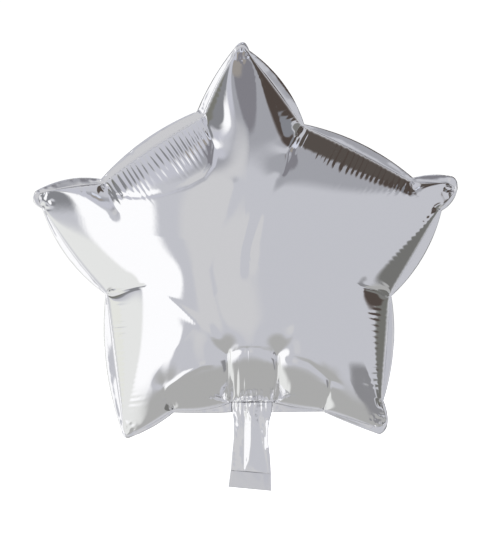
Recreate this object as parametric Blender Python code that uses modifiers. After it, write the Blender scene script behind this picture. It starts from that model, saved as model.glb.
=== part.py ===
"""Star foil balloon with its filling tail, inflated.

Metres, +Z up, the front faces -Y. The origin is where a ribbon ties the neck: the middle of the
seam plane, where the star meets the tail. The two film panels meet at the seam plane y = 0, on
both sides of the welded margin.
"""
import math
from collections import namedtuple

import bmesh
import bpy
from mathutils import Vector

MM = 0.001

# Star
STAR_CENTRE = Vector((-0.0042, 0.0, 0.1355))
HALF_DEPTH = 0.0885

# Film and weld, each film 1 mm thick in place of the real 0.03 mm
WALL = 0.001
MARGIN_HALF = 0.0004
CLEARANCE = 0.0003
SEAM_FACE = MARGIN_HALF + CLEARANCE
SEAM_OVERLAP = 0.0016
RIM_BAND = 0.0012

# How the film bulges: a dome that falls away to the tips, and a round roll up from the seam
DOME_REACH = 0.206
DOME_POWER = 2.35
EDGE_ROUNDING = 0.068
CREASE_REACH = 0.055
FIRMNESS = 9.0
LOWEST = 0.0002

# Steps of the mesh
OUTLINE_STEP = 0.0085
RINGS = 10

# Tail
TAIL_END_SLOPE = 0.093
MOUTH_SEAL = -0.0665
LEG_WIDTH = 0.0035
TAIL_BOW = 0.0045
TAIL_FOLD = 0.0009
TAIL_FOLDS = 3
TAIL_COLUMNS = 12
TAIL_ROWS = 10
VALVE_WIDTH = 0.022
VALVE_TOP = 0.004
VALVE_HALF = 0.0004

# The welded seam around the star, counter-clockwise seen from the front, in millimetres from the
# star's centre. bulge is how far the seam swells outward on its way to the next row, edge is the
# margin's width at the row, and edge_bulge is how far the margin's outer edge swells.
SeamRow = namedtuple("SeamRow", "x z bulge edge edge_bulge")
SEAM = (
    SeamRow(52.6, 126.7, 1.4, 1.9, 7.6),
    SeamRow(0.4, 196.1, 2.8, 2.4, 6.6),
    SeamRow(-10.1, 198.0, 2.4, 3.8, 2.6),
    SeamRow(-42.4, 135.3, 2.4, 7.6, 6.6),
    SeamRow(-137.4, 71.6, 1.9, 4.8, 5.7),
    SeamRow(-197.2, 62.1, 2.8, 4.8, 5.5),
    SeamRow(-193.4, 48.8, 3.8, 1.9, 8.5),
    SeamRow(-133.6, -32.9, 0.5, 1.4, 7.6),
    SeamRow(-117.4, -162.1, 2.8, 2.8, 3.8),
    SeamRow(-109.8, -164.9, 1.9, 3.8, 1.9),
    SeamRow(-70.9, -143.1, 3.8, 2.8, 0.9),
    SeamRow(-14.8, -135.5, 0.0, 10.0, 0.0),
    SeamRow(23.2, -135.5, 1.4, 10.0, 0.0),
    SeamRow(71.6, -143.1, 0.5, 1.9, 0.5),
    SeamRow(123.9, -159.2, 1.9, 7.6, 2.8),
    SeamRow(131.5, -152.6, 0.5, 1.9, 0.9),
    SeamRow(127.7, -134.5, 0.5, 1.4, 5.7),
    SeamRow(135.3, -34.8, 0.5, 1.4, 7.1),
    SeamRow(182.8, 46.9, 0.9, 1.9, 2.8),
    SeamRow(197.0, 65.9, 0.9, 2.4, 2.8),
    SeamRow(191.3, 71.6, 0.5, 7.6, 2.4),
    SeamRow(156.2, 73.5, 1.9, 3.8, 7.6),
)
NECK_ROW = 11

# The pinched creases, in millimetres from the star's centre: from the seam to where each one ends,
# how round the film rolls into it, and how high the film stands at its end
Crease = namedtuple("Crease", "x0 z0 x1 z1 rounding full")
CREASES = (
    Crease(52.6, 126.7, 36.0, 98.0, 70.0, 66.0),
    Crease(-42.4, 135.3, -31.0, 104.0, 70.0, 66.0),
    Crease(-137.4, 71.6, -120.0, 44.0, 60.0, 60.0),
    Crease(-133.6, -32.9, -88.0, -22.0, 70.0, 74.0),
    Crease(-70.9, -143.1, -80.0, -118.0, 50.0, 54.0),
    Crease(-16.8, -135.5, -21.0, -88.0, 60.0, 68.0),
    Crease(25.2, -135.5, 28.0, -88.0, 60.0, 68.0),
    Crease(71.6, -143.1, 77.0, -116.0, 50.0, 56.0),
    Crease(135.3, -34.8, 96.0, -22.0, 70.0, 74.0),
    Crease(156.2, 73.5, 151.0, 52.0, 50.0, 48.0),
    Crease(127.7, -134.5, 114.0, -128.0, 30.0, 40.0),
    Crease(182.8, 46.9, 170.0, 50.0, 30.0, 32.0),
)

# The tail from the neck down, in millimetres: height, its middle line and half its width
Width = namedtuple("Width", "z middle half")
TAIL = (
    Width(0.0, 0.0, 19.0),
    Width(-11.0, 0.0, 18.6),
    Width(-17.0, -0.4, 17.2),
    Width(-28.0, -1.2, 16.2),
    Width(-36.0, -1.2, 16.4),
    Width(-50.0, -1.0, 18.0),
    Width(-66.5, -1.2, 19.2),
    Width(-82.6, -2.2, 20.4),
)

# Finish: colour, metallic, roughness
Finish = namedtuple("Finish", "colour metallic roughness")
FINISHES = {
    "front_film": Finish((0.80, 0.80, 0.83), 1.0, 0.10),
    "back_film": Finish((0.80, 0.80, 0.83), 1.0, 0.10),
    "margin_film": Finish((0.72, 0.73, 0.77), 1.0, 0.20),
    "tail_film": Finish((0.70, 0.72, 0.78), 1.0, 0.18),
    "valve_film": Finish((0.75, 0.76, 0.78), 0.0, 0.30),
}


def clear_scene():
    """Remove every object of the open scene."""
    for obj in list(bpy.data.objects):
        bpy.data.objects.remove(obj, do_unlink=True)


def make_collection():
    """The collection that holds the pieces."""
    collection = bpy.data.collections.new("star_foil_balloon")
    bpy.context.scene.collection.children.link(collection)
    return collection


def make_material(name):
    """A Principled material from its row in FINISHES."""
    finish = FINISHES[name]
    material = bpy.data.materials.new(name)
    material.use_nodes = True
    shader = material.node_tree.nodes["Principled BSDF"]
    shader.inputs["Base Color"].default_value = (*finish.colour, 1.0)
    shader.inputs["Metallic"].default_value = finish.metallic
    shader.inputs["Roughness"].default_value = finish.roughness
    return material


def add_piece(collection, name, data, material):
    """Link one named piece with its material."""
    data.materials.append(material)
    obj = bpy.data.objects.new(name, data)
    collection.objects.link(obj)
    return obj


def solidify(obj, thickness, offset):
    """Give an open sheet its wall."""
    wall = obj.modifiers.new("wall", 'SOLIDIFY')
    wall.thickness = thickness
    wall.offset = offset


def outward(start, end):
    """Unit vector that points out of the star from the chord start to end."""
    chord = end - start
    return Vector((chord.z, 0.0, -chord.x)).normalized()


def lobe(start, end, bulge):
    """Points from start up to, and without, end on an arc that swells outward by bulge."""
    chord = end - start
    steps = max(2, round(chord.length / OUTLINE_STEP))
    normal = outward(start, end)
    points = []
    for step in range(steps):
        share = step / steps
        swell = bulge * 4.0 * share * (1.0 - share)
        points.append(start + chord * share + normal * swell)
    return points


def from_centre(x, z):
    """A step in the seam plane, given in millimetres."""
    return Vector((x, 0.0, z)) * MM


def row_point(row):
    """A seam row's place in the seam plane."""
    place = SEAM[row % len(SEAM)]
    return STAR_CENTRE + from_centre(place.x, place.z)


def row_normal(row):
    """The direction away from the star at a seam row."""
    before = outward(row_point(row - 1), row_point(row))
    after = outward(row_point(row), row_point(row + 1))
    return (before + after).normalized()


def seam_line():
    """The closed seam, lobe after lobe."""
    points = []
    for row, place in enumerate(SEAM):
        points += lobe(row_point(row), row_point(row + 1), place.bulge * MM)
    return points


def margin_point(row):
    """The margin's outer edge at a seam row."""
    return row_point(row) + row_normal(row) * SEAM[row % len(SEAM)].edge * MM


def inner_point(points, index):
    """A seam point moved inward, to where the margin ends under the film."""
    before, here, after = points[index - 1], points[index], points[(index + 1) % len(points)]
    normal = (outward(before, here) + outward(here, after)).normalized()
    return here - normal * SEAM_OVERLAP


def tail_width(z):
    """The tail's middle line and half its width at height z."""
    for above, below in zip(TAIL, TAIL[1:]):
        if z >= below.z * MM or below is TAIL[-1]:
            share = (z / MM - above.z) / (below.z - above.z)
            middle = above.middle + (below.middle - above.middle) * share
            half = above.half + (below.half - above.half) * share
            return middle * MM, half * MM


def tail_point(z, across, inset=0.0):
    """A point of the seam plane at height z, across the tail from -1 to 1, set in from its side."""
    middle, half = tail_width(z)
    x = middle + across * (half - inset)
    drop = TAIL_END_SLOPE * (x - middle) if z <= TAIL[-1].z * MM else 0.0
    return Vector((x, 0.0, z - drop))


def margin_outline():
    """The margin as one closed outline: the star's edge, then down both sides of the tail."""
    outer = []
    for row in range(NECK_ROW + 1, NECK_ROW + len(SEAM)):
        swell = SEAM[row % len(SEAM)].edge_bulge * MM
        outer += lobe(margin_point(row), margin_point(row + 1), swell)
    outer.append(margin_point(NECK_ROW))
    heights = [width.z * MM for width in TAIL[2:]]
    down_left = [tail_point(z, -1.0) for z in heights]
    up_left = [tail_point(z, -1.0, LEG_WIDTH) for z in reversed(heights)]
    down_right = [tail_point(z, 1.0, LEG_WIDTH) for z in heights]
    up_right = [tail_point(z, 1.0) for z in reversed(heights)]
    seam = seam_line()
    inner = [inner_point(seam, index) for index in range(len(seam))]
    gap = tail_point(heights[0], 1.0, LEG_WIDTH).x
    inside = [p for p in inner if abs(p.x) > gap or p.z > LEG_WIDTH]
    start = min(range(len(inside)), key=lambda i: (inside[i] - Vector((gap, 0.0, 0.0))).length)
    inside = inside[start:] + inside[:start]
    return outer + down_left + up_left + list(reversed(inside)) + down_right + up_right


def line_distance(point, start, end):
    """A point's distance to a line, and how far along it the nearest place is, from 0 to 1."""
    run = end - start
    share = min(1.0, max(0.0, (point - start).dot(run) / run.length_squared))
    return (point - start - run * share).length, share


def depth(flat, seam):
    """How far the film stands off the seam plane, as high as dome, seam and creases let it."""
    fall = ((flat - STAR_CENTRE).length / DOME_REACH) ** DOME_POWER
    away = min(line_distance(flat, a, b)[0] for a, b in zip(seam, seam[1:] + seam[:1]))
    limits = [HALF_DEPTH * (1.0 - fall), math.sqrt(2.0 * EDGE_ROUNDING * away)]
    for crease in CREASES:
        start = STAR_CENTRE + from_centre(crease.x0, crease.z0)
        end = STAR_CENTRE + from_centre(crease.x1, crease.z1)
        away, share = line_distance(flat, start, end)
        floor = crease.full * MM * math.sin(0.5 * math.pi * share)
        roll = math.sqrt(2.0 * crease.rounding * MM * away + floor ** 2)
        limits.append(roll * (1.0 + (away / CREASE_REACH) ** 2))
    return sum(max(limit, LOWEST) ** -FIRMNESS for limit in limits) ** (-1.0 / FIRMNESS)


def pull_in(bm, edges, shrink, height_of):
    """Extrude a rim, draw it towards the star's middle line and lift it to its depth."""
    grown = bmesh.ops.extrude_edge_only(bm, edges=edges)["geom"]
    for vert in (g for g in grown if isinstance(g, bmesh.types.BMVert)):
        flat = STAR_CENTRE + (Vector((vert.co.x, 0.0, vert.co.z)) - STAR_CENTRE) * shrink
        vert.co = flat
        vert.co.y = height_of(flat)
    return [g for g in grown if isinstance(g, bmesh.types.BMEdge)]


def panel_mesh(name, side):
    """One film panel as an open dish, side -1 in front and +1 behind."""
    bm = bmesh.new()
    verts = []
    seam = seam_line()
    for point in seam:
        verts.append(bm.verts.new((point.x, side * SEAM_FACE, point.z)))
    edges = [bm.edges.new((verts[i - 1], verts[i])) for i in range(len(verts))]
    base = SEAM_FACE + RIM_BAND
    edges = pull_in(bm, edges, 1.0, lambda flat: side * base)
    share = 1.0
    for ring in range(1, RINGS):
        reach = math.cos(0.5 * math.pi * ring / RINGS)
        edges = pull_in(bm, edges, reach / share,
                        lambda flat: side * (base + depth(flat, seam)))
        share = reach
    fan = bmesh.ops.extrude_edge_only(bm, edges=edges)["geom"]
    crown = STAR_CENTRE + Vector((0.0, side * (base + depth(STAR_CENTRE, seam)), 0.0))
    bmesh.ops.pointmerge(bm, verts=[g for g in fan if isinstance(g, bmesh.types.BMVert)],
                         merge_co=crown)
    bmesh.ops.recalc_face_normals(bm, faces=bm.faces)
    if sum(face.normal.y * face.calc_area() for face in bm.faces) * side < 0.0:
        bmesh.ops.reverse_faces(bm, faces=bm.faces)
    mesh = bpy.data.meshes.new(name)
    bm.to_mesh(mesh)
    bm.free()
    mesh.shade_smooth()
    return mesh


def add_panel(collection, name, material, side):
    """Front or back panel with its wall on the inside."""
    obj = add_piece(collection, name, panel_mesh(name, side), material)
    solidify(obj, WALL, -1.0)


def add_flat_outline(collection, name, material, points, half_thickness):
    """A flat plate in the seam plane from its closed outline."""
    curve = bpy.data.curves.new(name, 'CURVE')
    curve.dimensions = '2D'
    curve.fill_mode = 'BOTH'
    curve.extrude = half_thickness
    spline = curve.splines.new('POLY')
    spline.points.add(len(points) - 1)
    for target, point in zip(spline.points, points):
        target.co = (point.x, point.z, 0.0, 1.0)
    spline.use_cyclic_u = True
    obj = add_piece(collection, name, curve, material)
    obj.rotation_euler.x = math.radians(90.0)


def tail_film_mesh(name, side):
    """A tail film: bowed and folded below the neck, flat at the mouth seal."""
    bm = bmesh.new()
    bmesh.ops.create_grid(bm, x_segments=TAIL_COLUMNS, y_segments=TAIL_ROWS, size=1.0)
    top = -CLEARANCE
    for vert in bm.verts:
        across = vert.co.x
        down = 0.5 - 0.5 * vert.co.y
        fade = (1.0 - down) ** 0.8
        bow = TAIL_BOW * fade * math.cos(0.5 * math.pi * across) ** 2
        ripple = TAIL_FOLD * fade * math.sin(math.pi * TAIL_FOLDS * across) ** 2
        vert.co = tail_point(top + (MOUTH_SEAL - top) * down, across)
        vert.co.y = side * (SEAM_FACE + bow + ripple * (1.0 - across ** 2))
    mesh = bpy.data.meshes.new(name)
    if side > 0.0:
        bmesh.ops.reverse_faces(bm, faces=bm.faces)
    bm.to_mesh(mesh)
    bm.free()
    mesh.shade_smooth()
    return mesh


def add_tail_film(collection, name, material, side):
    """Front or back film of the tail, with its wall towards the outside."""
    obj = add_piece(collection, name, tail_film_mesh(name, side), material)
    solidify(obj, WALL, 1.0)


def add_mouth_band(collection, name, material, side):
    """The flat welded band across the tail's end."""
    bm = bmesh.new()
    bmesh.ops.create_cube(bm, size=1.0)
    for vert in bm.verts:
        outer = vert.co.y * side > 0.0
        z = MOUTH_SEAL - CLEARANCE if vert.co.z > 0.0 else TAIL[-1].z * MM
        vert.co = tail_point(z, 2.0 * vert.co.x)
        vert.co.y = side * (SEAM_FACE + WALL if outer else SEAM_FACE)
    mesh = bpy.data.meshes.new(name)
    bm.to_mesh(mesh)
    bm.free()
    add_piece(collection, name, mesh, material)


def valve_outline():
    """The valve film's flat outline, between the tail's two welded sides."""
    half = 0.5 * VALVE_WIDTH
    points = [Vector((half, 0.0, VALVE_TOP)), Vector((-half, 0.0, VALVE_TOP))]
    heights = [width.z * MM for width in TAIL[2:]]
    for side, run in ((-half, heights), (half, list(reversed(heights)))):
        for z in run:
            point = tail_point(z, 0.0)
            point.x += side
            points.append(point)
    return points


def main():
    """Build the balloon."""
    clear_scene()
    collection = make_collection()
    materials = {name: make_material(name) for name in FINISHES}
    add_panel(collection, "front_panel", materials["front_film"], -1.0)
    add_panel(collection, "back_panel", materials["back_film"], 1.0)
    add_flat_outline(collection, "seam_margin", materials["margin_film"], margin_outline(),
                     MARGIN_HALF)
    for name, side in (("front", -1.0), ("back", 1.0)):
        add_tail_film(collection, f"tail_{name}", materials["tail_film"], side)
        add_mouth_band(collection, f"mouth_band_{name}", materials["tail_film"], side)
    add_flat_outline(collection, "valve_film", materials["valve_film"], valve_outline(),
                     VALVE_HALF)


main()
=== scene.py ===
"""Looks of the star foil balloon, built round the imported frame.

Metres, +Z up, the front faces -Y, and the origin is at the neck, as in the frame. The two film
panels stand off the flat seam as pillows between pinched creases, with gathered ribs along the
seam. The welded margin, the tail's films and the valve film are thin crinkled sheets.
"""
import logging
import math
from dataclasses import dataclass, field
from enum import Enum

import bmesh
import bpy
import numpy as np
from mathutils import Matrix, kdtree


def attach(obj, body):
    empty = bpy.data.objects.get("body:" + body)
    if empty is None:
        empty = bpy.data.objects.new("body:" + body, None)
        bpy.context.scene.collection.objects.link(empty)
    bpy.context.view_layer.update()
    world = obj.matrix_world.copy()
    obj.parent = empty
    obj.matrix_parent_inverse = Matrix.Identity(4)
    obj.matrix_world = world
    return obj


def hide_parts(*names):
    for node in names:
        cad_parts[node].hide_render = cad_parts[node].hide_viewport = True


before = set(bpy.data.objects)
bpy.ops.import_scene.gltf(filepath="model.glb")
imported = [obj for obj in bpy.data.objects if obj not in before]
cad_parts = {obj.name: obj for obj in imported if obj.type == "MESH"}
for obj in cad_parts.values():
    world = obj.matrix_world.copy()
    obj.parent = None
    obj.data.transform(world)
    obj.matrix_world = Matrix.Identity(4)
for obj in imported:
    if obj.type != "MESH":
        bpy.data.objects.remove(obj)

LOG = logging.getLogger("star_foil_balloon")
MM = 0.001
BODY = "root"
CENTRE = np.array((-0.0042, 0.1355))
NECK_ROW = 11


class Side(Enum):
    """Which way a film faces: its sign along +Y."""

    FRONT = -1.0
    BACK = 1.0


@dataclass(frozen=True)
class SeamRow:
    """One turn of the welded seam, in millimetres from the star's centre.

    bulge and edge_bulge are how far the seam and the margin's outer edge swell outward on the
    way to the next row, and edge is the margin's width at the row.
    """

    x: float
    z: float
    bulge: float
    edge: float
    edge_bulge: float


@dataclass(frozen=True)
class Crease:
    """A pinch from the seam into the film, in millimetres from the star's centre.

    rounding is how round the film rolls into it, and full is the film's height where it ends.
    """

    x0: float
    z0: float
    x1: float
    z1: float
    rounding: float
    full: float


@dataclass(frozen=True)
class Ribs:
    """Gathers that run in from the seam between two rows, all in millimetres.

    far is how far in they reach, and start and end are the shares of the lobe that they fill.
    """

    row: int
    pitch: float
    height: float
    near: float
    far: float
    start: float = 0.0
    end: float = 1.0


@dataclass(frozen=True)
class Streak:
    """A tension line in the face along a path, in millimetres from the star's centre."""

    path: tuple[tuple[float, float], ...]
    height: float
    width: float


@dataclass(frozen=True)
class TailRow:
    """The tail's middle and half width at a height, in millimetres."""

    z: float
    middle: float
    half: float


@dataclass(frozen=True)
class TailSection:
    """How the tail's front film stands off the seam plane at a height.

    Each knot is a place across the tail and the film's height there, in millimetres.
    """

    z: float
    knots: tuple[tuple[float, float], ...]


@dataclass(frozen=True)
class Card:
    """A softly bounded tone in the surroundings.

    It is laid out as a mirror ball in front of the camera shows it, from -1 to 1 to the right
    and upward. The tone is in eight-bit display values, turn is in degrees, and soft is the
    share of its size over which it fades.
    """

    tone: tuple[float, float, float]
    right: float
    up: float
    half_width: float
    half_height: float
    turn: float
    soft: float


SEAM: tuple[SeamRow, ...] = (
    SeamRow(52.6, 126.7, 1.4, 1.9, 7.6),
    SeamRow(0.4, 196.1, 2.8, 2.4, 6.6),
    SeamRow(-10.1, 198.0, 2.4, 3.8, 2.6),
    SeamRow(-42.4, 135.3, 2.4, 7.6, 6.6),
    SeamRow(-137.4, 71.6, 1.9, 4.8, 5.7),
    SeamRow(-197.2, 62.1, 2.8, 4.8, 5.5),
    SeamRow(-193.4, 48.8, 3.8, 1.9, 8.5),
    SeamRow(-133.6, -32.9, 0.5, 1.4, 7.6),
    SeamRow(-117.4, -162.1, 2.8, 2.8, 3.8),
    SeamRow(-109.8, -164.9, 1.9, 3.8, 1.9),
    SeamRow(-70.9, -143.1, 3.8, 2.8, 0.9),
    SeamRow(-14.8, -135.5, 0.0, 10.0, 0.0),
    SeamRow(23.2, -135.5, 1.4, 10.0, 0.0),
    SeamRow(71.6, -143.1, 0.5, 1.9, 0.5),
    SeamRow(123.9, -159.2, 1.9, 7.6, 2.8),
    SeamRow(131.5, -152.6, 0.5, 1.9, 0.9),
    SeamRow(127.7, -134.5, 0.5, 1.4, 5.7),
    SeamRow(135.3, -34.8, 0.5, 1.4, 7.1),
    SeamRow(182.8, 46.9, 0.9, 1.9, 2.8),
    SeamRow(197.0, 65.9, 0.9, 2.4, 2.8),
    SeamRow(191.3, 71.6, 0.5, 7.6, 2.4),
    SeamRow(156.2, 73.5, 1.9, 3.8, 7.6),
)

CREASES: tuple[Crease, ...] = (
    Crease(52.6, 126.7, 36.0, 98.0, 70.0, 66.0),
    Crease(-42.4, 135.3, -31.0, 104.0, 70.0, 66.0),
    Crease(-137.4, 71.6, -120.0, 44.0, 60.0, 60.0),
    Crease(-133.6, -32.9, -88.0, -22.0, 70.0, 74.0),
    Crease(-70.9, -143.1, -80.0, -118.0, 50.0, 54.0),
    Crease(-16.8, -135.5, -21.0, -88.0, 60.0, 68.0),
    Crease(25.2, -135.5, 28.0, -88.0, 60.0, 68.0),
    Crease(71.6, -143.1, 77.0, -116.0, 50.0, 56.0),
    Crease(135.3, -34.8, 96.0, -22.0, 70.0, 74.0),
    Crease(156.2, 73.5, 151.0, 52.0, 50.0, 48.0),
    Crease(127.7, -134.5, 114.0, -128.0, 30.0, 40.0),
    Crease(182.8, 46.9, 170.0, 50.0, 30.0, 32.0),
)

RIBS: tuple[Ribs, ...] = (
    Ribs(0, 5.2, 0.16, 3.0, 22.0),
    Ribs(2, 5.0, 0.40, 2.0, 16.0, 0.50, 1.0),
    Ribs(3, 5.2, 0.90, 1.0, 50.0),
    Ribs(4, 4.8, 0.50, 1.0, 22.0, 0.0, 0.45),
    Ribs(6, 5.0, 0.25, 2.0, 24.0, 0.3, 1.0),
    Ribs(7, 5.4, 0.65, 2.0, 30.0, 0.05, 0.85),
    Ribs(10, 5.6, 0.35, 4.0, 38.0),
    Ribs(11, 5.6, 0.80, 1.5, 46.0),
    Ribs(12, 5.6, 0.35, 4.0, 38.0),
    Ribs(16, 5.2, 0.70, 2.0, 28.0, 0.1, 0.92),
    Ribs(17, 5.2, 0.35, 2.0, 26.0),
    Ribs(21, 5.1, 0.85, 3.0, 44.0),
)

STREAKS: tuple[Streak, ...] = (
    Streak(((-135.5, 69.7), (-124.1, 59.3), (-102.2, 57.4), (-78.5, 60.2), (-54.7, 67.8),
            (-40.5, 75.4), (-32.9, 86.8), (-31.0, 103.9), (-35.7, 120.1)), -0.9, 2.2),
    Streak(((53.6, 124.8), (46.0, 113.4), (38.4, 99.2), (34.6, 84.9), (31.7, 75.4)), -0.8, 2.0),
    Streak(((31.7, 81.1), (21.3, 64.0), (9.9, 42.2), (2.3, 13.7), (-1.5, -19.6)), -0.9, 5.0),
    Streak(((17.5, 60.2), (6.1, 39.3), (-4.4, 8.9), (-9.1, -24.3)), 0.7, 5.0),
    Streak(((-30.0, 27.9), (-37.6, -10.1), (-31.0, -48.1), (-18.6, -81.3)), -0.8, 6.0),
    Streak(((-11.0, 75.4), (-22.4, 42.2), (-40.5, 8.9)), 0.6, 7.0),
    Streak(((-90.8, -25.3), (-64.2, -43.3), (-40.5, -62.3), (-19.6, -81.3)), 0.7, 3.0),
    Streak(((97.3, -26.2), (73.5, -38.6), (49.8, -57.6), (31.7, -79.4)), 0.7, 3.0),
    Streak(((-77.5, -126.9), (-74.7, -119.3), (-58.5, -107.0), (-42.4, -98.4),
            (-27.2, -96.5)), 0.7, 1.7),
    Streak(((33.6, -92.7), (43.1, -91.8), (56.4, -96.5), (76.4, -111.7),
            (92.5, -120.3)), -0.6, 2.5),
    Streak(((-134.5, -31.9), (-121.2, -31.0), (-104.1, -26.2), (-90.8, -24.3)), -1.2, 1.7),
    Streak(((136.2, -31.9), (123.9, -30.0), (108.7, -27.2), (97.3, -26.2)), -1.2, 1.7),
    Streak(((-69.0, -144.0), (-73.7, -135.5), (-77.5, -126.0)), -1.0, 1.3),
    Streak(((65.9, -144.0), (75.4, -126.0), (76.4, -112.7)), -1.0, 1.3),
    Streak(((-14.8, -131.7), (-17.7, -109.8), (-18.6, -90.8), (-17.7, -82.3)), -1.4, 1.9),
    Streak(((25.1, -131.7), (27.9, -109.8), (27.0, -90.8), (25.1, -86.1)), -1.4, 1.9),
    Streak(((-16.7, -88.9), (-11.0, -85.1), (-4.4, -83.2), (3.2, -82.3), (9.9, -83.2),
            (21.3, -86.1), (26.0, -91.8)), -0.6, 1.4),
    Streak(((-0.6, -81.3), (-0.1, -100.3), (0.4, -122.2)), -0.5, 1.1),
    Streak(((-77.5, -126.0), (-71.8, -95.6), (-54.7, -57.6)), 0.4, 5.0),
    Streak(((76.4, -112.7), (70.7, -86.1), (59.3, -57.6)), 0.4, 5.0),
    Streak(((99.2, -29.1), (103.0, -67.1), (118.2, -128.8)), 0.5, 5.0),
    Streak(((-41.4, 136.2), (-37.6, 122.9), (-33.8, 111.5)), -1.0, 1.5),
    Streak(((53.6, 126.7), (47.9, 119.1), (44.1, 112.5)), -1.0, 1.5),
    Streak(((-137.4, 71.6), (-134.5, 64.0), (-130.7, 58.3)), -0.8, 1.5),
    Streak(((157.1, 66.9), (160.0, 57.4)), -0.8, 1.5),
)

TAIL: tuple[TailRow, ...] = (
    TailRow(0.0, 0.0, 19.0),
    TailRow(-11.0, 0.0, 18.6),
    TailRow(-17.0, -0.4, 17.2),
    TailRow(-28.0, -1.2, 16.2),
    TailRow(-36.0, -1.2, 16.4),
    TailRow(-50.0, -1.0, 18.0),
    TailRow(-66.5, -1.2, 19.2),
    TailRow(-82.6, -2.2, 20.4),
)

TAIL_SECTIONS: tuple[TailSection, ...] = (
    TailSection(0.0, ((-19.0, 0.2), (-12.0, 3.0), (-7.5, 2.6), (-4.0, 4.6), (-1.0, 5.6),
                      (3.0, 5.2), (7.0, 3.4), (13.0, 2.4), (19.0, 0.2))),
    TailSection(-9.0, ((-18.6, 0.2), (-12.0, 2.2), (-8.0, 1.6), (-4.5, 4.4), (-2.6, 4.8),
                       (2.0, 4.0), (5.0, 1.6), (12.0, 1.4), (18.6, 0.2))),
    TailSection(-14.0, ((-17.6, 0.2), (-12.0, 1.4), (-7.4, 1.0), (-6.8, 1.0), (-1.0, 4.4),
                        (2.6, 3.9), (5.7, 1.2), (11.6, 1.5), (17.6, 0.3))),
    TailSection(-28.0, ((-16.8, 0.2), (-12.0, 1.1), (-7.6, 0.9), (-7.2, 0.9), (-0.9, 4.2),
                        (3.4, 3.4), (7.8, 0.7), (12.0, 1.2), (15.6, 0.3))),
    TailSection(-43.0, ((-18.2, 0.2), (-12.0, 0.8), (-7.9, 0.7), (-7.5, 0.7), (-1.4, 3.7),
                        (4.0, 2.8), (10.3, 0.4), (13.0, 0.8), (16.6, 0.3))),
    TailSection(-57.0, ((-19.2, 0.2), (-12.0, 0.5), (-8.1, 0.4), (-7.8, 0.4), (-3.4, 2.4),
                        (4.0, 1.7), (13.8, 0.2), (15.4, 0.4), (17.6, 0.2))),
    TailSection(-64.0, ((-20.0, 0.2), (-12.0, 0.3), (-8.2, 0.3), (-8.0, 0.3), (-6.0, 0.9),
                        (4.0, 0.7), (14.6, 0.2), (15.6, 0.3), (18.0, 0.2))),
    TailSection(-66.5, ((-20.4, 0.2), (-12.0, 0.2), (-8.2, 0.2), (-8.0, 0.2), (-6.0, 0.2),
                        (4.0, 0.2), (14.6, 0.2), (15.6, 0.2), (18.0, 0.2))),
)

# How far the margin tilts back along each seam row, in degrees.
MARGIN_TILTS: tuple[float, ...] = (
    34.0, 20.0, 28.0, 15.0, 24.0, -6.0, 24.0, 22.0, 12.0, 6.0, -10.0, 0.0, -34.0, -38.0,
    14.0, 20.0, -20.0, 12.0, 16.0, 14.0, 24.0, 30.0,
)

# The seam rows that run round the star's five tips.
TIP_ROWS: tuple[int, ...] = (1, 5, 8, 14, 19)


def smooth(value: np.ndarray, low: float, high: float) -> np.ndarray:
    """Smooth step from 0 at low to 1 at high."""
    share = np.clip((value - low) / (high - low), 0.0, 1.0)
    return share * share * (3.0 - 2.0 * share)


def line_distance(points: np.ndarray, start: np.ndarray,
                  end: np.ndarray) -> tuple[np.ndarray, np.ndarray]:
    """Distance of points to a line between two places.

    Args:
        points: Places, with x and z in the last axis.
        start: Where the line starts.
        end: Where it ends.

    Returns:
        The distance, and the share from 0 at the start to 1 at the end.
    """
    run = end - start
    share = np.clip((points - start) @ run / (run @ run), 0.0, 1.0)
    return np.linalg.norm(points - start - share[..., None] * run, axis=-1), share


class ValueNoise:
    """Smooth seeded noise along two axes."""

    def __init__(self, seed: int, size: int = 64) -> None:
        """Draw the noise's grid of random values."""
        self.size = size
        self.grid = np.random.default_rng(seed).uniform(-1.0, 1.0, (size, size))

    def at(self, x: np.ndarray, y: np.ndarray) -> np.ndarray:
        """Noise from -1 to 1 at x, y, one feature to a unit.

        Args:
            x: Places along the first axis.
            y: Places along the second.

        Returns:
            The noise at each place.
        """
        xi, yi = np.floor(x).astype(int), np.floor(y).astype(int)
        u, v = x - xi, y - yi
        u, v = u * u * (3.0 - 2.0 * u), v * v * (3.0 - 2.0 * v)
        x0, x1, y0, y1 = xi % self.size, (xi + 1) % self.size, yi % self.size, (yi + 1) % self.size
        low = self.grid[x0, y0] * (1.0 - u) + self.grid[x1, y0] * u
        high = self.grid[x0, y1] * (1.0 - u) + self.grid[x1, y1] * u
        return low * (1.0 - v) + high * v

    def ridged(self, x: np.ndarray, y: np.ndarray) -> np.ndarray:
        """Sharp-edged noise, as in crumpled film."""
        return 1.0 - 2.0 * np.abs(self.at(x, y))


def grid_mesh(points: np.ndarray, merge: float = 0.0) -> bmesh.types.BMesh:
    """A grid laid over rows of points.

    Args:
        points: The grid's points, row by row.
        merge: Distance under which points become one, or nothing.

    Returns:
        The grid, for its caller to free.
    """
    rows, count = points.shape[:2]
    bm = bmesh.new()
    bmesh.ops.create_grid(bm, x_segments=count - 1, y_segments=rows - 1, size=1.0)
    mesh = bpy.data.meshes.new("laid")
    bm.to_mesh(mesh)
    mesh.vertices.foreach_set("co", points.reshape(-1, 3).astype(np.float32).ravel())
    bm.clear()
    bm.from_mesh(mesh)
    bpy.data.meshes.remove(mesh)
    if merge > 0.0:
        bmesh.ops.remove_doubles(bm, verts=bm.verts, dist=merge)
    return bm


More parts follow.
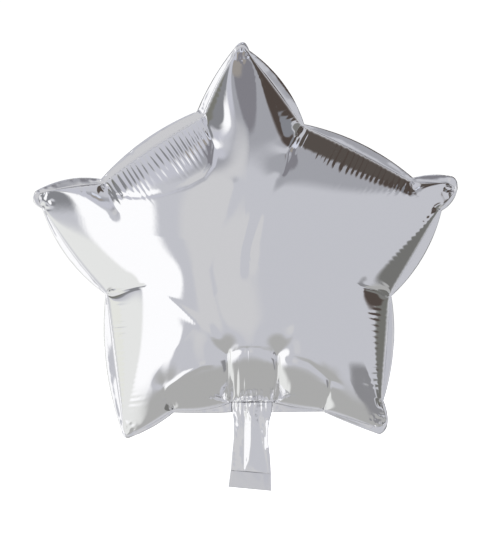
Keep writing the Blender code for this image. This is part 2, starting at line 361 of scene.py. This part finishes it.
def sheet_object(name: str, grids: list[np.ndarray], side: Side,
                 merge: float = 0.0) -> bpy.types.Object:
    """One sheet made of grids of points.

    Args:
        name: The piece's name.
        grids: The points of each grid, row by row.
        side: Which way the sheet faces.
        merge: Distance under which points become one, or nothing.

    Returns:
        The sheet's object.
    """
    whole = bmesh.new()
    for points in grids:
        part = grid_mesh(points, merge)
        facing = sum(face.normal.y * face.calc_area() for face in part.faces)
        if facing * side.value < 0.0:
            bmesh.ops.reverse_faces(part, faces=part.faces)
        mesh = bpy.data.meshes.new("part")
        part.to_mesh(mesh)
        part.free()
        whole.from_mesh(mesh)
        bpy.data.meshes.remove(mesh)
    mesh = bpy.data.meshes.new(name)
    whole.to_mesh(mesh)
    whole.free()
    mesh.shade_smooth()
    obj = bpy.data.objects.new(name, mesh)
    bpy.context.scene.collection.objects.link(obj)
    return obj


def give_wall(obj: bpy.types.Object, thickness: float) -> None:
    """Give a sheet its thickness, half to each side.

    Args:
        obj: The sheet.
        thickness: The film's thickness in metres.
    """
    wall = obj.modifiers.new("film", 'SOLIDIFY')
    wall.thickness = thickness
    wall.offset = 0.0


def dress(obj: bpy.types.Object, material: bpy.types.Material,
          replaced: tuple[str, ...]) -> None:
    """Give a piece its finish and its body, and hide the nodes that it stands for.

    Args:
        obj: The piece.
        material: Its finish.
        replaced: The nodes that it stands for.
    """
    obj.data.materials.clear()
    obj.data.materials.append(material)
    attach(obj, BODY)
    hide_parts(*replaced)
    LOG.info("%s: %d faces", obj.name, len(obj.data.polygons))


@dataclass
class SeamPlan:
    """The flat seam outline and the margin's edge, sampled side by side, in metres."""

    rows: tuple[SeamRow, ...] = SEAM
    step: float = 0.00112
    seam: np.ndarray = field(init=False)
    edge: np.ndarray = field(init=False)
    row: np.ndarray = field(init=False)
    share: np.ndarray = field(init=False)

    def __post_init__(self) -> None:
        """Sample both outlines at an even step."""
        seam, edge, rows, shares = [], [], [], []
        for index, row in enumerate(self.rows):
            start, end = self.point(index), self.point(index + 1)
            count = max(3, round(float(np.linalg.norm(end - start)) / self.step))
            share = np.arange(count) / count
            swell = (4.0 * share * (1.0 - share))[:, None] * self.outward(index)
            seam.append(start + (end - start) * share[:, None] + swell * row.bulge * MM)
            first, last = self.edge_point(index), self.edge_point(index + 1)
            edge.append(first + (last - first) * share[:, None] + swell * row.edge_bulge * MM)
            rows.append(np.full(count, index))
            shares.append(share)
        self.seam, self.edge = np.concatenate(seam), np.concatenate(edge)
        self.row, self.share = np.concatenate(rows), np.concatenate(shares)

    def point(self, index: int) -> np.ndarray:
        """A row's place in the seam plane, in metres."""
        row = self.rows[index % len(self.rows)]
        return CENTRE + np.array((row.x, row.z)) * MM

    def outward(self, index: int) -> np.ndarray:
        """Unit vector out of the star, square to the chord from a row to the next."""
        chord = self.point(index + 1) - self.point(index)
        return np.array((chord[1], -chord[0])) / np.linalg.norm(chord)

    def edge_point(self, index: int) -> np.ndarray:
        """The margin's outer edge at a row, in metres.

        Args:
            index: The row's place in the table.

        Returns:
            The place in the seam plane.
        """
        normal = self.outward(index - 1) + self.outward(index)
        width = self.rows[index % len(self.rows)].edge * MM
        return self.point(index) + normal / np.linalg.norm(normal) * width

    def distance(self, points: np.ndarray) -> np.ndarray:
        """Distance of each point to the seam, in metres.

        Args:
            points: Places, with x and z in the last axis.

        Returns:
            A distance for each place.
        """
        count = len(self.seam)
        tree = kdtree.KDTree(count)
        for index, (x, z) in enumerate(self.seam):
            tree.insert((x, z, 0.0), index)
        tree.balance()
        flat = points.reshape(-1, 2)
        near = np.array([tree.find((x, z, 0.0))[1] for x, z in flat])
        best = np.full(len(flat), np.inf)
        for before in (1, 0):
            start = self.seam[(near - before) % count]
            run = self.seam[(near - before + 1) % count] - start
            share = np.clip(((flat - start) * run).sum(1) / (run * run).sum(1), 0.0, 1.0)
            away = np.linalg.norm(flat - start - share[:, None] * run, axis=1)
            best = np.minimum(best, away)
        return best.reshape(points.shape[:-1])


@dataclass
class Inflation:
    """The inflated form over the flat outline, in rings of points from the seam inward.

    The film is as high as the lowest of three things allows: the dome that falls away to the
    tips, the roll up from the seam, and the roll out of each crease.
    """

    plan: SeamPlan
    rings: int = 78
    spread: float = 0.88
    dome_height: float = 0.0885
    dome_reach: float = 0.206
    dome_power: float = 2.35
    edge_rounding: float = 0.068
    crease_reach: float = 0.055
    firmness: float = 9.0
    flat: np.ndarray = field(init=False)
    height: np.ndarray = field(init=False)

    def __post_init__(self) -> None:
        """Lay out the rings and find the height of each point."""
        turn = 0.5 * math.pi * (np.arange(self.rings) / self.rings) ** self.spread
        offset = self.plan.seam - CENTRE
        self.flat = CENTRE + np.cos(turn)[:, None, None] * offset[None]
        self.height = self.heights()

    def heights(self) -> np.ndarray:
        """The film's height over each ring point, in metres.

        Returns:
            A height for each ring point.
        """
        radius = np.linalg.norm(self.flat - CENTRE, axis=-1)
        fall = np.clip(radius / self.dome_reach, 0.0, 0.999) ** self.dome_power
        limits = [self.dome_height * (1.0 - fall)]
        limits.append(np.sqrt(2.0 * self.edge_rounding * self.plan.distance(self.flat)))
        for crease in CREASES:
            start = CENTRE + np.array((crease.x0, crease.z0)) * MM
            end = CENTRE + np.array((crease.x1, crease.z1)) * MM
            away, share = line_distance(self.flat, start, end)
            floor = crease.full * MM * np.sin(0.5 * math.pi * share)
            roll = np.sqrt(2.0 * crease.rounding * MM * away + floor ** 2)
            limits.append(roll * (1.0 + (away / self.crease_reach) ** 2))
        total = sum(np.maximum(limit, 1e-6) ** -self.firmness for limit in limits)
        return total ** (-1.0 / self.firmness)


def ring_normals(points: np.ndarray, side: Side) -> np.ndarray:
    """Outward unit normals of a sheet of rings.

    Args:
        points: Ring points, ring by ring, closed round each ring.
        side: Which way the sheet faces.

    Returns:
        A unit vector for each point.
    """
    along = np.roll(points, -1, 1) - np.roll(points, 1, 1)
    inward = np.gradient(points, axis=0)
    normal = np.cross(along, inward)
    normal /= np.maximum(np.linalg.norm(normal, axis=-1, keepdims=True), 1e-12)
    if normal[-1, :, 1].mean() * side.value < 0.0:
        normal = -normal
    return normal


@dataclass
class Panel:
    """One inflated film panel."""

    form: Inflation
    side: Side
    seed: int
    seam_gap: float = 0.00012
    tip_crumple: float = 0.0008

    def points(self) -> np.ndarray:
        """The panel's ring points with its ribs and streaks, the seam first.

        Returns:
            Points ring by ring, in metres.
        """
        flat, height = self.form.flat, self.form.height + self.streaks()
        points = np.empty(flat.shape[:2] + (3,))
        points[..., 0] = flat[..., 0]
        points[..., 2] = flat[..., 1]
        points[..., 1] = self.side.value * (self.seam_gap + height)
        lift = self.ribs() + self.tips()
        return points + ring_normals(points, self.side) * lift[..., None]

    def tips(self) -> np.ndarray:
        """Crumples where the film is gathered into each tip, in metres.

        Returns:
            A rise for each ring point.
        """
        plan, flat = self.form.plan, self.form.flat
        noise = ValueNoise(self.seed + 40)
        near = np.zeros(flat.shape[:2])
        for row in TIP_ROWS:
            middle = 0.5 * (plan.point(row) + plan.point(row + 1))
            away = np.linalg.norm(flat - middle, axis=-1)
            near = np.maximum(near, 1.0 - smooth(away, 0.005, 0.015))
        rough = noise.ridged(flat[..., 0] / 0.0045, flat[..., 1] / 0.0038)
        return self.tip_crumple * near * rough

    def streaks(self) -> np.ndarray:
        """How far the tension lines raise or lower the face, in metres.

        Returns:
            A rise for each ring point.
        """
        lift = np.zeros(self.form.flat.shape[:2])
        for streak in STREAKS:
            path = CENTRE + np.array(streak.path) * MM
            best = np.full(lift.shape, np.inf)
            place = np.zeros(lift.shape)
            for index in range(len(path) - 1):
                away, share = line_distance(self.form.flat, path[index], path[index + 1])
                place = np.where(away < best, (index + share) / (len(path) - 1), place)
                best = np.minimum(best, away)
            fade = smooth(place, -0.01, 0.12) * (1.0 - smooth(place, 0.80, 1.0))
            lift += streak.height * MM * fade * np.exp(-((best / (streak.width * MM)) ** 2))
        return lift

    def ribs(self) -> np.ndarray:
        """How far the gathers lift each point off the smooth form, in metres.

        Returns:
            A rise for each ring point.
        """
        noise = ValueNoise(self.seed)
        flat = self.form.flat
        lift = np.zeros(flat.shape[:2])
        for ribs in RIBS:
            plan = self.form.plan
            start, end = plan.point(ribs.row), plan.point(ribs.row + 1)
            length = float(np.linalg.norm(end - start))
            run, inward = (end - start) / length, -plan.outward(ribs.row)
            along = (flat - start) @ run
            deep = (flat - start) @ inward + plan.rows[ribs.row].bulge * MM
            share = along / length
            pitch = ribs.pitch * MM
            wander = noise.at(along / (3.0 * pitch), deep / 0.06 + ribs.row * 3.7)
            phase = along / pitch + 0.55 * wander
            wave = np.abs(np.sin(math.pi * phase)) - 0.64
            lot = np.full_like(phase, ribs.row * 1.37)
            vary = 0.75 + 0.5 * noise.at(np.floor(phase) * 0.73, lot)
            reach = ribs.far * MM * (0.85 + 0.25 * noise.at(np.floor(phase) * 0.91 + 9.0, lot))
            ends = smooth(share, ribs.start - 0.02, ribs.start + 0.06)
            ends = ends * (1.0 - smooth(share, ribs.end - 0.06, ribs.end + 0.02))
            rise = smooth(deep, 0.0, ribs.near * MM)
            fall = 1.0 - smooth(deep / reach, 0.35, 1.0)
            lift += ribs.height * MM * wave * vary * ends * rise * fall
        return lift

    def build(self, name: str, material: bpy.types.Material, slot: str,
              node: str) -> bpy.types.Object:
        """Make and dress the panel.

        Args:
            name: The piece's name.
            material: The film's finish.
            slot: Not used.
            node: The solid that the panel stands for.

        Returns:
            The panel, a dish of rings closed at its middle.
        """
        points = self.points()
        wrapped = np.concatenate((points, points[:, :1]), 1)
        pole = np.broadcast_to(points[-1].mean(0), (1, wrapped.shape[1], 3))
        obj = sheet_object(name, [np.concatenate((wrapped, pole))], self.side, 1e-7)
        dress(obj, material, (node,))
        return obj


@dataclass
class Margin:
    """The flat welded margin outside the seam, and its two legs down the tail."""

    plan: SeamPlan
    tail: "Tail"
    strips: int = 9
    thickness: float = 0.00012
    seed: int = 11
    ripple: float = 0.0003
    crumple: float = 0.0011
    hem: float = 0.0006

    def ring(self) -> np.ndarray:
        """The strip round the star, open at the neck.

        Returns:
            Points strip by strip from the seam outward.
        """
        neck = self.plan.row == NECK_ROW
        first = int(np.flatnonzero(neck)[-1]) + 1
        order = (first + np.arange(len(neck) - int(neck.sum()) + 1)) % len(neck)
        seam, edge = self.plan.seam[order], self.plan.edge[order]
        share = np.linspace(0.0, 1.0, self.strips)[:, None]
        steps = np.linalg.norm(np.diff(seam, axis=0, prepend=seam[:1]), axis=1)
        around = np.cumsum(steps)[None]
        row, place = self.plan.row[order], self.plan.share[order]
        middle = (4.0 * place * (1.0 - place)) ** 0.35
        noise = ValueNoise(self.seed)
        tilt = np.radians(np.array(MARGIN_TILTS)[row] * middle)[None]
        tilt = tilt * (1.0 + 0.5 * noise.at(around / 0.019, share * 1.6))
        width = np.linalg.norm(edge - seam, axis=1)[None]
        out = (edge - seam)[None] / np.maximum(width, 1e-9)[..., None]
        length = np.array([np.linalg.norm(self.plan.point(k + 1) - self.plan.point(k))
                           for k in range(len(self.plan.rows))])[row]
        pinch = np.exp(-np.minimum(place, 1.0 - place) * length / 0.006)[None]
        tip = np.isin(row, TIP_ROWS)[None]
        fold = np.cumsum(np.sin(np.broadcast_to(tilt, (self.strips, len(row)))), 0) - np.sin(tilt)
        lift = fold * width / (self.strips - 1)
        lift = lift + share * noise.at(around / 0.0052, share * 0.8 + 5.0) * self.ripple
        rough = np.maximum(pinch, tip) * noise.ridged(around / 0.0034 + 7.0, share * 1.8)
        lift = lift + share * rough * self.crumple
        lift = lift + self.hem * smooth(share, 0.8, 1.0)
        flat = seam[None] + out * (share * width)[..., None]
        points = np.empty(flat.shape[:2] + (3,))
        points[..., 0], points[..., 2] = flat[..., 0], flat[..., 1]
        points[..., 1] = lift
        return points

    def build(self, material: bpy.types.Material) -> bpy.types.Object:
        """Make and dress the margin.

        Args:
            material: The margin's finish.

        Returns:
            The margin.
        """
        grids = [self.ring()] + [self.tail.leg(way) for way in (-1.0, 1.0)]
        obj = sheet_object("welded_margin", grids, Side.FRONT)
        give_wall(obj, self.thickness)
        dress(obj, material, ("seam_margin",))
        return obj


@dataclass
class Tail:
    """The flat filling tail: two films, the welded band at its mouth and the valve film."""

    top: float = -0.0003
    seal: float = -0.0665
    end: float = -0.0826
    end_slope: float = 0.093
    bow: float = 0.0042
    gap: float = 0.0006
    leg_width: float = 0.0035
    ruffle_pitch: float = 0.0046
    ruffle_height: float = 0.0008
    crumple: float = 0.00032
    thickness: float = 0.00008
    columns: int = 80
    rows: int = 130
    valve_width: float = 0.022

    def width(self, z: np.ndarray) -> tuple[np.ndarray, np.ndarray]:
        """The tail's middle and half width at heights, in metres.

        Args:
            z: The heights.

        Returns:
            The middle and the half width at each height.
        """
        heights = [-row.z for row in TAIL]
        middle = np.interp(-z / MM, heights, [row.middle for row in TAIL])
        half = np.interp(-z / MM, heights, [row.half for row in TAIL])
        return middle * MM, half * MM

    def leg(self, way: float) -> np.ndarray:
        """One welded leg, from the neck to the mouth, on the side that way points to.

        Args:
            way: -1 for the left leg and 1 for the right one.

        Returns:
            Points row by row from the neck.
        """
        z = np.linspace(0.0, self.end, 70)[:, None]
        middle, half = self.width(z)
        inset = np.linspace(self.leg_width, 0.0, 6)[None]
        x = middle + way * (half - inset)
        noise = ValueNoise(31)
        points = np.empty(x.shape + (3,))
        points[..., 0] = x
        points[..., 1] = noise.at(z / 0.006 + way * 5.0, inset / 0.004) * 0.0002 + self.bend(
            x, z)
        points[..., 2] = z - self.end_slope * (x - middle) * smooth(-z, 0.0, -self.end)
        return points

    def film(self, side: Side, seed: int, top: float, end: float, bow: float) -> np.ndarray:
        """A film's points between two heights.

        Args:
            side: Which way the film faces.
            seed: The seed of its crumples.
            top: The upper height.
            end: The lower height.
            bow: How far it bows off the seam plane.

        Returns:
            Points row by row from the top.
        """
        rows = max(10, round(self.rows * (top - end) / (self.top - self.end)))
        z = np.linspace(top, end, rows)[:, None]
        across = np.linspace(-1.0, 1.0, self.columns)[None]
        middle, half = self.width(z)
        x = middle + across * (half - 0.0002)
        noise = ValueNoise(seed)
        if side is Side.FRONT:
            lift = self.sections(x, z)
        else:
            lift = bow * (1.0 - across ** 2) * (1.0 - smooth(-z, 0.025, -self.seal))
        free = (1.0 - across ** 4) * (1.0 - 0.6 * smooth(-z, -self.seal - 0.004, -self.seal))
        crumple = noise.ridged(x / 0.008 + 3.0, z / 0.014) + 0.5 * noise.ridged(
            x / 0.004 + 8.0, z / 0.0055)
        lift = lift + self.crumple * crumple * free
        pinch = 2.2 * noise.ridged(x / 0.0042 + 1.0, z / 0.006 + 2.0) * smooth(z, -0.017, -0.007)
        lift = lift + self.crumple * pinch * free
        ruffle = np.cos(2.0 * math.pi * x / self.ruffle_pitch + 1.2 * noise.at(x / 0.01, z / 0.02))
        lift = lift + self.ruffle_height * ruffle * np.exp(z / 0.007) * (1.0 - across ** 4)
        points = np.empty(lift.shape + (3,))
        points[..., 0] = x
        points[..., 1] = side.value * np.maximum(self.gap + lift, 0.0002) + self.bend(x, z)
        points[..., 2] = z - self.end_slope * (x - middle) * smooth(-z, 0.0, -self.end)
        return points

    def sections(self, x: np.ndarray, z: np.ndarray) -> np.ndarray:
        """The front film's folded height, from the sections above and below each row.

        Args:
            x: Places across the tail.
            z: The height of each row.

        Returns:
            How far each point stands off the seam plane.
        """
        heights = [-section.z for section in TAIL_SECTIONS]
        knots = np.array([section.knots for section in TAIL_SECTIONS])
        lift = np.empty(x.shape)
        for row, depth in enumerate(-z[:, 0] / MM):
            places = [np.interp(depth, heights, column) for column in knots[..., 0].T]
            rises = [np.interp(depth, heights, column) for column in knots[..., 1].T]
            lift[row] = np.interp(x[row] / MM, places, rises) * MM
        return lift

    def bend(self, x: np.ndarray, z: np.ndarray) -> np.ndarray:
        """How far all of the tail's layers bend off the seam plane together, in metres.

        Args:
            x: Places across the tail.
            z: Their heights.

        Returns:
            A move along Y for each place.
        """
        edge = smooth(x, 0.0115, 0.0172) * smooth(-z, 0.012, 0.018) * (1.0 - smooth(
            -z, 0.040, 0.047))
        wave = 0.0006 * np.sin(z / 0.009 + x / 0.02)
        return -0.0026 * edge + wave * smooth(-z, 0.004, 0.03)

    def valve(self) -> np.ndarray:
        """The valve film's points, between the tail's films.

        Returns:
            Points row by row from the top.
        """
        z = np.linspace(0.0035, self.end, 60)[:, None]
        across = np.linspace(-0.5, 0.5, 20)[None]
        middle, _ = self.width(z)
        x = middle + across * self.valve_width
        points = np.empty(x.shape + (3,))
        points[..., 0] = x
        points[..., 1] = 0.00006 * np.sin(x / 0.003 + z / 0.007) + self.bend(x, z)
        points[..., 2] = z - self.end_slope * (x - middle) * smooth(-z, 0.0, -self.end)
        return points

    def lay(self, name: str, points: np.ndarray, side: Side, material: bpy.types.Material,
            node: str) -> bpy.types.Object:
        """Make and dress one of the tail's sheets.

        Args:
            name: The piece's name.
            points: Its points, row by row.
            side: Which way it faces.
            material: Its finish.
            node: The solid that it stands for.

        Returns:
            The sheet.
        """
        obj = sheet_object(name, [points], side)
        give_wall(obj, self.thickness)
        dress(obj, material, (node,))
        return obj

    def build(self, foil: bpy.types.Material, band: bpy.types.Material,
              liner: bpy.types.Material) -> None:
        """Make every sheet of the tail.

        Args:
            foil: The finish of the two films.
            band: The mouth band's finish.
            liner: The valve film's finish.
        """
        for side, word, seed in ((Side.FRONT, "front", 21), (Side.BACK, "back", 22)):
            points = self.film(side, seed, self.top, self.seal, self.bow)
            self.lay(f"tail_film_{word}", points, side, foil, f"tail_{word}")
            points = self.film(side, seed, self.seal - 0.0002, self.end, 0.0)
            self.lay(f"mouth_strip_{word}", points, side, band,
                     f"mouth_band_{word}")
        self.lay("valve_liner", self.valve(), Side.FRONT, liner, "valve_film")


@dataclass(frozen=True)
class FoilFinish:
    """Metallised film: a mirror with a fine grain of wrinkles."""

    name: str
    colour: tuple[float, float, float] = (0.955, 0.955, 0.965)
    roughness: float = 0.05
    grain: float = 260.0
    wrinkle: float = 0.02

    def make(self) -> bpy.types.Material:
        """Make the material.

        Returns:
            The finish.
        """
        material = bpy.data.materials.new(self.name)
        material.use_nodes = True
        nodes, links = material.node_tree.nodes, material.node_tree.links
        shader = nodes["Principled BSDF"]
        shader.inputs["Base Color"].default_value = (*self.colour, 1.0)
        shader.inputs["Metallic"].default_value = 1.0
        place = nodes.new("ShaderNodeTexCoord")
        grain = nodes.new("ShaderNodeTexNoise")
        grain.inputs["Scale"].default_value = self.grain
        grain.inputs["Detail"].default_value = 4.0
        spread = nodes.new("ShaderNodeMapRange")
        spread.inputs["To Min"].default_value = self.roughness * 0.7
        spread.inputs["To Max"].default_value = self.roughness * 1.3
        bump = nodes.new("ShaderNodeBump")
        bump.inputs["Strength"].default_value = self.wrinkle
        bump.inputs["Distance"].default_value = 0.001
        links.new(place.outputs["Object"], grain.inputs["Vector"])
        links.new(grain.outputs["Fac"], bump.inputs["Height"])
        links.new(grain.outputs["Fac"], spread.inputs["Value"])
        links.new(spread.outputs["Result"], shader.inputs["Roughness"])
        links.new(bump.outputs["Normal"], shader.inputs["Normal"])
        return material


@dataclass(frozen=True)
class LinerFinish:
    """Clear plastic film of the valve."""

    name: str
    colour: tuple[float, float, float] = (0.72, 0.74, 0.78)
    roughness: float = 0.3

    def make(self) -> bpy.types.Material:
        """Make the material.

        Returns:
            The finish.
        """
        material = bpy.data.materials.new(self.name)
        material.use_nodes = True
        nodes, links = material.node_tree.nodes, material.node_tree.links
        shader = nodes["Principled BSDF"]
        shader.inputs["Roughness"].default_value = self.roughness
        shader.inputs["Transmission Weight"].default_value = 0.4
        place = nodes.new("ShaderNodeTexCoord")
        haze = nodes.new("ShaderNodeTexNoise")
        haze.inputs["Scale"].default_value = 90.0
        ramp = nodes.new("ShaderNodeValToRGB")
        ramp.color_ramp.elements[0].color = (*(0.9 * c for c in self.colour), 1.0)
        ramp.color_ramp.elements[1].color = (*self.colour, 1.0)
        links.new(place.outputs["Object"], haze.inputs["Vector"])
        links.new(haze.outputs["Fac"], ramp.inputs["Fac"])
        links.new(ramp.outputs["Color"], shader.inputs["Base Color"])
        return material


# Tones set from how the film looks: ceiling, windows, dark sides and floor.
CARDS: tuple[Card, ...] = (
    Card((168, 168, 167), 0.10, -0.80, 0.65, 0.33, 0.0, 0.30),
    Card((226, 227, 225), -0.72, -0.45, 0.33, 0.50, 20.0, 0.40),
    Card((157, 158, 164), 0.15, 0.60, 0.45, 0.25, 0.0, 0.40),
    Card((190, 191, 200), -0.35, 0.70, 0.14, 0.26, 0.0, 0.30),
    Card((130, 131, 135), -0.72, 0.40, 0.20, 0.22, 0.0, 0.30),
    Card((118, 118, 112), -0.95, 0.40, 0.14, 0.28, -20.0, 0.30),
    Card((225, 226, 220), -0.96, -0.12, 0.12, 0.16, 0.0, 0.30),
    Card((252, 252, 253), -0.43, 0.00, 0.14, 0.48, 10.0, 0.30),
    Card((126, 125, 131), 0.01, 0.58, 0.12, 0.15, 0.0, 0.30),
    Card((206, 210, 222), 0.02, 0.78, 0.12, 0.06, 0.0, 0.30),
    Card((150, 145, 140), -0.10, 0.70, 0.08, 0.06, 0.0, 0.30),
    Card((112, 112, 108), 0.98, -0.10, 0.16, 0.60, 0.0, 0.30),
    Card((112, 112, 110), 0.86, -0.50, 0.20, 0.25, 20.0, 0.30),
    Card((80, 72, 68), 0.79, 0.18, 0.10, 0.22, 0.0, 0.30),
    Card((78, 70, 66), 0.60, 0.62, 0.20, 0.18, 45.0, 0.30),
    Card((84, 78, 74), 0.35, 0.82, 0.26, 0.14, -25.0, 0.30),
    Card((128, 130, 136), 0.68, 0.42, 0.08, 0.10, 0.0, 0.30),
    Card((120, 120, 118), 0.90, 0.45, 0.10, 0.30, -25.0, 0.30),
    Card((135, 135, 138), 0.48, -0.45, 0.08, 0.12, 20.0, 0.40),
    Card((200, 200, 202), -0.10, 0.02, 0.10, 0.40, 10.0, 0.40),
)


def shown(tone: tuple[float, float, float]) -> tuple[float, float, float, float]:
    """An eight-bit display tone as a colour from 0 to 1."""
    return (*(value / 255.0 for value in tone), 1.0)


@dataclass
class Studio:
    """Camera, floor and the soft surroundings that the film mirrors."""

    distance: float = 2.2
    view_height: float = 0.509
    aim: tuple[float, float] = (-0.009, 0.127)
    base_tone: tuple[float, float, float] = (190.0, 191.0, 197.0)
    behind_tone: tuple[float, float, float] = (196.0, 197.0, 202.0)
    strength: float = 1.05
    floor_height: float = -0.9
    floor_size: float = 30.0

    def camera(self) -> None:
        """Set the camera square to the balloon's front."""
        data = bpy.data.cameras.new("camera")
        data.sensor_width = 36.0
        data.lens = data.sensor_width * self.distance / self.view_height
        obj = bpy.data.objects.new("camera", data)
        obj.location = (self.aim[0], -self.distance, self.aim[1])
        obj.rotation_euler = (math.radians(90.0), 0.0, 0.0)
        bpy.context.scene.collection.objects.link(obj)
        bpy.context.scene.camera = obj

    def floor(self) -> None:
        """Lay the pale floor, far below, which the camera sees but the film doesn't mirror."""
        bm = bmesh.new()
        bmesh.ops.create_circle(bm, cap_ends=True, segments=96, radius=self.floor_size)
        bmesh.ops.translate(bm, verts=bm.verts, vec=(0.0, 0.0, self.floor_height))
        mesh = bpy.data.meshes.new("floor")
        bm.to_mesh(mesh)
        bm.free()
        material = bpy.data.materials.new("pale_floor")
        material.use_nodes = True
        shader = material.node_tree.nodes["Principled BSDF"]
        shader.inputs["Base Color"].default_value = (0.9, 0.9, 0.9, 1.0)
        shader.inputs["Emission Color"].default_value = (1.0, 1.0, 1.0, 1.0)
        shader.inputs["Emission Strength"].default_value = 1.0
        mesh.materials.append(material)
        obj = bpy.data.objects.new("floor", mesh)
        obj.visible_glossy = False
        obj.visible_diffuse = False
        bpy.context.scene.collection.objects.link(obj)

    def world(self) -> None:
        """Surround the balloon with soft cards, and show the camera plain white behind them."""
        world = bpy.data.worlds.new("surroundings")
        bpy.context.scene.world = world
        world.use_nodes = True
        nodes, links = world.node_tree.nodes, world.node_tree.links
        place = nodes.new("ShaderNodeTexCoord").outputs["Generated"]
        split = nodes.new("ShaderNodeSeparateXYZ")
        links.new(place, split.inputs[0])
        ball = self.mirror_ball(nodes, links, split)
        colour = nodes.new("ShaderNodeRGB").outputs[0]
        colour.default_value = shown(self.base_tone)
        for card in CARDS:
            weight = self.card_weight(nodes, links, ball, card)
            colour = self.blend(nodes, links, weight, colour, card.tone)
        behind = self.fade(nodes, links, split.outputs["Y"], 0.78, 0.93)
        colour = self.blend(nodes, links, behind, colour, self.behind_tone)
        gamma = nodes.new("ShaderNodeGamma")
        gamma.inputs["Gamma"].default_value = 2.2
        links.new(colour, gamma.inputs["Color"])
        path = nodes.new("ShaderNodeLightPath")
        seen = self.blend(nodes, links, path.outputs["Is Camera Ray"], gamma.outputs["Color"],
                          (255.0, 255.0, 255.0))
        links.new(seen, nodes["Background"].inputs["Color"])
        nodes["Background"].inputs["Strength"].default_value = self.strength

    def mirror_ball(self, nodes: bpy.types.Nodes, links: bpy.types.NodeLinks,
                    split: bpy.types.Node) -> bpy.types.NodeSocket:
        """Where a mirror ball in front of the camera shows a direction.

        Args:
            nodes: The world's nodes.
            links: Its links.
            split: The direction's three parts.

        Returns:
            The place on the ball, from -1 to 1 each way.
        """
        less = nodes.new("ShaderNodeMath")
        less.operation = 'SUBTRACT'
        less.inputs[0].default_value = 1.0001
        links.new(split.outputs["Y"], less.inputs[1])
        double = nodes.new("ShaderNodeMath")
        double.operation = 'MULTIPLY'
        double.inputs[1].default_value = 2.0
        links.new(less.outputs[0], double.inputs[0])
        root = nodes.new("ShaderNodeMath")
        root.operation = 'SQRT'
        links.new(double.outputs[0], root.inputs[0])
        flat = nodes.new("ShaderNodeCombineXYZ")
        for axis, target in (("X", "X"), ("Z", "Y")):
            share = nodes.new("ShaderNodeMath")
            share.operation = 'DIVIDE'
            links.new(split.outputs[axis], share.inputs[0])
            links.new(root.outputs[0], share.inputs[1])
            links.new(share.outputs[0], flat.inputs[target])
        return flat.outputs[0]

    def card_weight(self, nodes: bpy.types.Nodes, links: bpy.types.NodeLinks,
                    ball: bpy.types.NodeSocket, card: Card) -> bpy.types.NodeSocket:
        """1 inside a card, falling softly to 0 outside it.

        Args:
            nodes: The world's nodes.
            links: Its links.
            ball: The place on the mirror ball.
            card: The card.

        Returns:
            The card's weight.
        """
        place = nodes.new("ShaderNodeMapping")
        place.vector_type = 'TEXTURE'
        place.inputs["Location"].default_value = (card.right, card.up, 0.0)
        place.inputs["Rotation"].default_value = (0.0, 0.0, math.radians(card.turn))
        place.inputs["Scale"].default_value = (card.half_width, card.half_height, 1.0)
        links.new(ball, place.inputs["Vector"])
        square = nodes.new("ShaderNodeVectorMath")
        square.operation = 'MULTIPLY'
        links.new(place.outputs[0], square.inputs[0])
        links.new(place.outputs[0], square.inputs[1])
        length = nodes.new("ShaderNodeVectorMath")
        length.operation = 'LENGTH'
        links.new(square.outputs[0], length.inputs[0])
        return self.fade(nodes, links, length.outputs["Value"], 1.0 + card.soft, 1.0 - card.soft)

    def fade(self, nodes: bpy.types.Nodes, links: bpy.types.NodeLinks,
             value: bpy.types.NodeSocket, low: float, high: float) -> bpy.types.NodeSocket:
        """Smooth step of a value, 0 at low and 1 at high.

        Args:
            nodes: The world's nodes.
            links: Its links.
            value: The value.
            low: Where it gives 0.
            high: Where it gives 1.

        Returns:
            The step.
        """
        ramp = nodes.new("ShaderNodeMapRange")
        ramp.interpolation_type = 'SMOOTHSTEP'
        ramp.inputs["From Min"].default_value = low
        ramp.inputs["From Max"].default_value = high
        links.new(value, ramp.inputs["Value"])
        return ramp.outputs["Result"]

    def blend(self, nodes: bpy.types.Nodes, links: bpy.types.NodeLinks,
              weight: bpy.types.NodeSocket, under: bpy.types.NodeSocket,
              tone: tuple[float, float, float]) -> bpy.types.NodeSocket:
        """A tone laid over a colour by a weight.

        Args:
            nodes: The world's nodes.
            links: Its links.
            weight: How much of the tone shows.
            under: The colour below it.
            tone: The tone in eight-bit display values.

        Returns:
            The mixed colour.
        """
        mix = nodes.new("ShaderNodeMix")
        mix.data_type = 'RGBA'
        links.new(weight, mix.inputs["Factor"])
        links.new(under, mix.inputs["A"])
        mix.inputs["B"].default_value = shown(tone)
        return mix.outputs["Result"]


def main() -> None:
    """Build every piece."""
    logging.basicConfig(level=logging.INFO, format="%(name)s %(message)s")
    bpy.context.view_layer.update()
    bpy.context.scene.view_settings.view_transform = 'Standard'
    studio = Studio()
    studio.camera()
    studio.floor()
    studio.world()
    plan = SeamPlan()
    form = Inflation(plan)
    film = FoilFinish("silver_film").make()
    margin_film = FoilFinish("silver_margin_film", roughness=0.08, wrinkle=0.05).make()
    tail_film = FoilFinish("silver_tail_film", roughness=0.09, wrinkle=0.05).make()
    band_film = FoilFinish("silver_band_film", colour=(0.9, 0.9, 0.92), roughness=0.22,
                           wrinkle=0.12).make()
    liner = LinerFinish("clear_liner").make()
    Panel(form, Side.FRONT, 3).build("front_film", film, "front_film", "front_panel")
    Panel(form, Side.BACK, 4).build("back_film", film, "back_film", "back_panel")
    tail = Tail()
    Margin(plan, tail).build(margin_film)
    tail.build(tail_film, band_film, liner)


if __name__ == "__main__":
    main()
